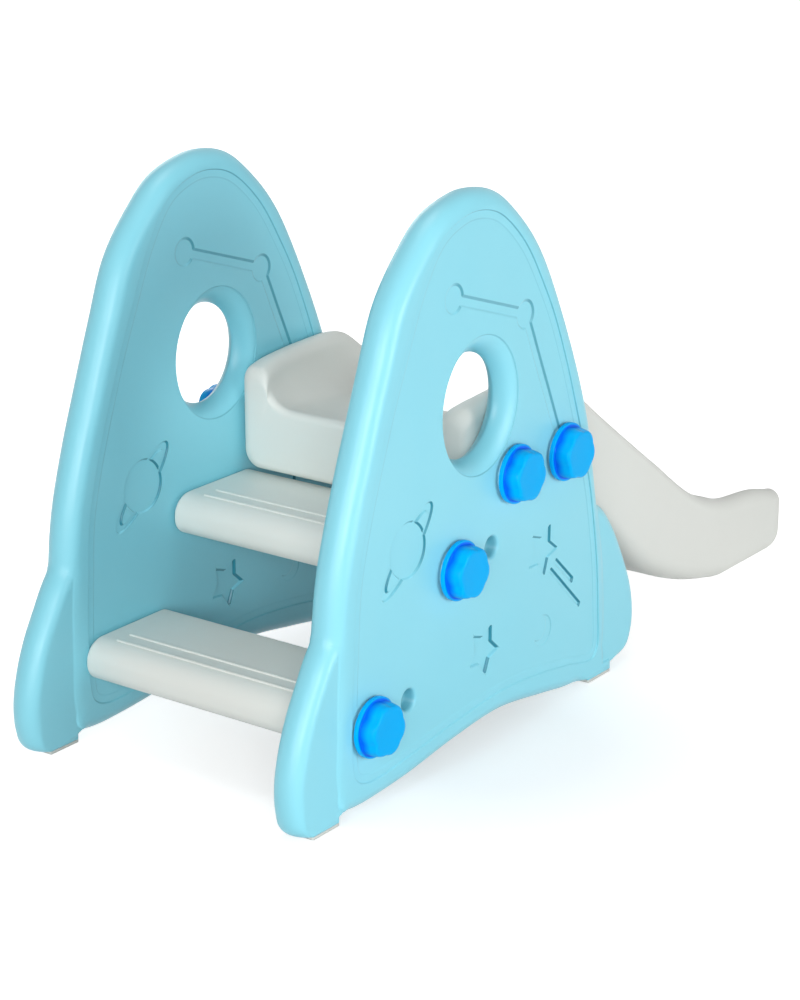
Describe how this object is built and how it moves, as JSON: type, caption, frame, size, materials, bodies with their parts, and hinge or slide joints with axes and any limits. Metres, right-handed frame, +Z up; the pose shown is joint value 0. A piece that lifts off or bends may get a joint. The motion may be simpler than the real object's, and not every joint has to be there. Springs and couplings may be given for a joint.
{
  "type": "climber slide",
  "caption": "Toddler climber slide: arched hollow side panels with round portholes, ribbed steps and a one-piece seat and chute, fixed by large hand screws.",
  "frame": {"origin": "on the floor, at the centre of the footprint's bounding box", "axes": "+X from the climbing side towards the foot of the chute, +Y from the right panel to the left panel, +Z up"},
  "size_m": [1.2432, 0.505, 0.6951],
  "materials": {
    "panel_blue": "satin blow-moulded polyethylene, light blue",
    "moulding_grey": "satin blow-moulded polyethylene, pale grey",
    "screw_blue": "glossy injection-moulded plastic, vivid blue",
    "washer_navy": "satin plastic, navy",
    "insert_white": "unpolished white plastic",
    "pad_grey": "matt non-slip rubber, grey"
  },
  "bodies": {
    "frame": {"front_foot_pad_left": "pad_grey", "front_foot_pad_right": "pad_grey", "left_side_panel": "panel_blue", "lower_step": "moulding_grey", "lower_step_insert_left": "insert_white", "lower_step_insert_right": "insert_white", "rear_foot_pad_left": "pad_grey", "rear_foot_pad_right": "pad_grey", "right_side_panel": "panel_blue", "seat_front_insert_left": "insert_white", "seat_front_insert_right": "insert_white", "seat_rear_insert_left": "insert_white", "seat_rear_insert_right": "insert_white", "slide_chute": "moulding_grey", "upper_step": "moulding_grey", "upper_step_insert_left": "insert_white", "upper_step_insert_right": "insert_white"},
    "lower_step_washer_right": {"lower_step_washer_right": "washer_navy"},
    "lower_step_screw_right": {"lower_step_screw_right": "screw_blue"},
    "lower_step_washer_left": {"lower_step_washer_left": "washer_navy"},
    "lower_step_screw_left": {"lower_step_screw_left": "screw_blue"},
    "upper_step_washer_right": {"upper_step_washer_right": "washer_navy"},
    "upper_step_screw_right": {"upper_step_screw_right": "screw_blue"},
    "upper_step_washer_left": {"upper_step_washer_left": "washer_navy"},
    "upper_step_screw_left": {"upper_step_screw_left": "screw_blue"},
    "seat_rear_washer_right": {"seat_rear_washer_right": "washer_navy"},
    "seat_rear_screw_right": {"seat_rear_screw_right": "screw_blue"},
    "seat_rear_washer_left": {"seat_rear_washer_left": "washer_navy"},
    "seat_rear_screw_left": {"seat_rear_screw_left": "screw_blue"},
    "seat_front_washer_right": {"seat_front_washer_right": "washer_navy"},
    "seat_front_screw_right": {"seat_front_screw_right": "screw_blue"},
    "seat_front_washer_left": {"seat_front_washer_left": "washer_navy"},
    "seat_front_screw_left": {"seat_front_screw_left": "screw_blue"}
  },
  "joints": [
    {"name": "lower_step_right_back_off", "type": "slide", "parent": "frame", "child": "lower_step_washer_right", "axis": [0, -1, 0], "range_m": [0, 0.024]},
    {"name": "lower_step_right_turn", "type": "hinge", "parent": "lower_step_washer_right", "child": "lower_step_screw_right", "pos_m": [-0.4835, -0.2254, 0.105], "axis": [0, -1, 0], "range_deg": [0, 1080]},
    {"name": "lower_step_left_back_off", "type": "slide", "parent": "frame", "child": "lower_step_washer_left", "axis": [0, 1, 0], "range_m": [0, 0.024]},
    {"name": "lower_step_left_turn", "type": "hinge", "parent": "lower_step_washer_left", "child": "lower_step_screw_left", "pos_m": [-0.4835, 0.2254, 0.105], "axis": [0, 1, 0], "range_deg": [0, 1080]},
    {"name": "upper_step_right_back_off", "type": "slide", "parent": "frame", "child": "upper_step_washer_right", "axis": [0, -1, 0], "range_m": [0, 0.024]},
    {"name": "upper_step_right_turn", "type": "hinge", "parent": "upper_step_washer_right", "child": "upper_step_screw_right", "pos_m": [-0.3135, -0.2254, 0.247], "axis": [0, -1, 0], "range_deg": [0, 1080]},
    {"name": "upper_step_left_back_off", "type": "slide", "parent": "frame", "child": "upper_step_washer_left", "axis": [0, 1, 0], "range_m": [0, 0.024]},
    {"name": "upper_step_left_turn", "type": "hinge", "parent": "upper_step_washer_left", "child": "upper_step_screw_left", "pos_m": [-0.3135, 0.2254, 0.247], "axis": [0, 1, 0], "range_deg": [0, 1080]},
    {"name": "seat_rear_right_back_off", "type": "slide", "parent": "frame", "child": "seat_rear_washer_right", "axis": [0, -1, 0], "range_m": [0, 0.024]},
    {"name": "seat_rear_right_turn", "type": "hinge", "parent": "seat_rear_washer_right", "child": "seat_rear_screw_right", "pos_m": [-0.1935, -0.2254, 0.336], "axis": [0, -1, 0], "range_deg": [0, 1080]},
    {"name": "seat_rear_left_back_off", "type": "slide", "parent": "frame", "child": "seat_rear_washer_left", "axis": [0, 1, 0], "range_m": [0, 0.024]},
    {"name": "seat_rear_left_turn", "type": "hinge", "parent": "seat_rear_washer_left", "child": "seat_rear_screw_left", "pos_m": [-0.1935, 0.2254, 0.336], "axis": [0, 1, 0], "range_deg": [0, 1080]},
    {"name": "seat_front_right_back_off", "type": "slide", "parent": "frame", "child": "seat_front_washer_right", "axis": [0, -1, 0], "range_m": [0, 0.024]},
    {"name": "seat_front_right_turn", "type": "hinge", "parent": "seat_front_washer_right", "child": "seat_front_screw_right", "pos_m": [-0.0825, -0.2254, 0.336], "axis": [0, -1, 0], "range_deg": [0, 1080]},
    {"name": "seat_front_left_back_off", "type": "slide", "parent": "frame", "child": "seat_front_washer_left", "axis": [0, 1, 0], "range_m": [0, 0.024]},
    {"name": "seat_front_left_turn", "type": "hinge", "parent": "seat_front_washer_left", "child": "seat_front_screw_left", "pos_m": [-0.0825, 0.2254, 0.336], "axis": [0, 1, 0], "range_deg": [0, 1080]}
  ],
  "couplings": [
    {"joint": "lower_step_right_back_off", "follows": "lower_step_right_turn", "m_per_rad": 0.0012732},
    {"joint": "lower_step_left_back_off", "follows": "lower_step_left_turn", "m_per_rad": 0.0012732},
    {"joint": "upper_step_right_back_off", "follows": "upper_step_right_turn", "m_per_rad": 0.0012732},
    {"joint": "upper_step_left_back_off", "follows": "upper_step_left_turn", "m_per_rad": 0.0012732},
    {"joint": "seat_rear_right_back_off", "follows": "seat_rear_right_turn", "m_per_rad": 0.0012732},
    {"joint": "seat_rear_left_back_off", "follows": "seat_rear_left_turn", "m_per_rad": 0.0012732},
    {"joint": "seat_front_right_back_off", "follows": "seat_front_right_turn", "m_per_rad": 0.0012732},
    {"joint": "seat_front_left_back_off", "follows": "seat_front_left_turn", "m_per_rad": 0.0012732}
  ]
}
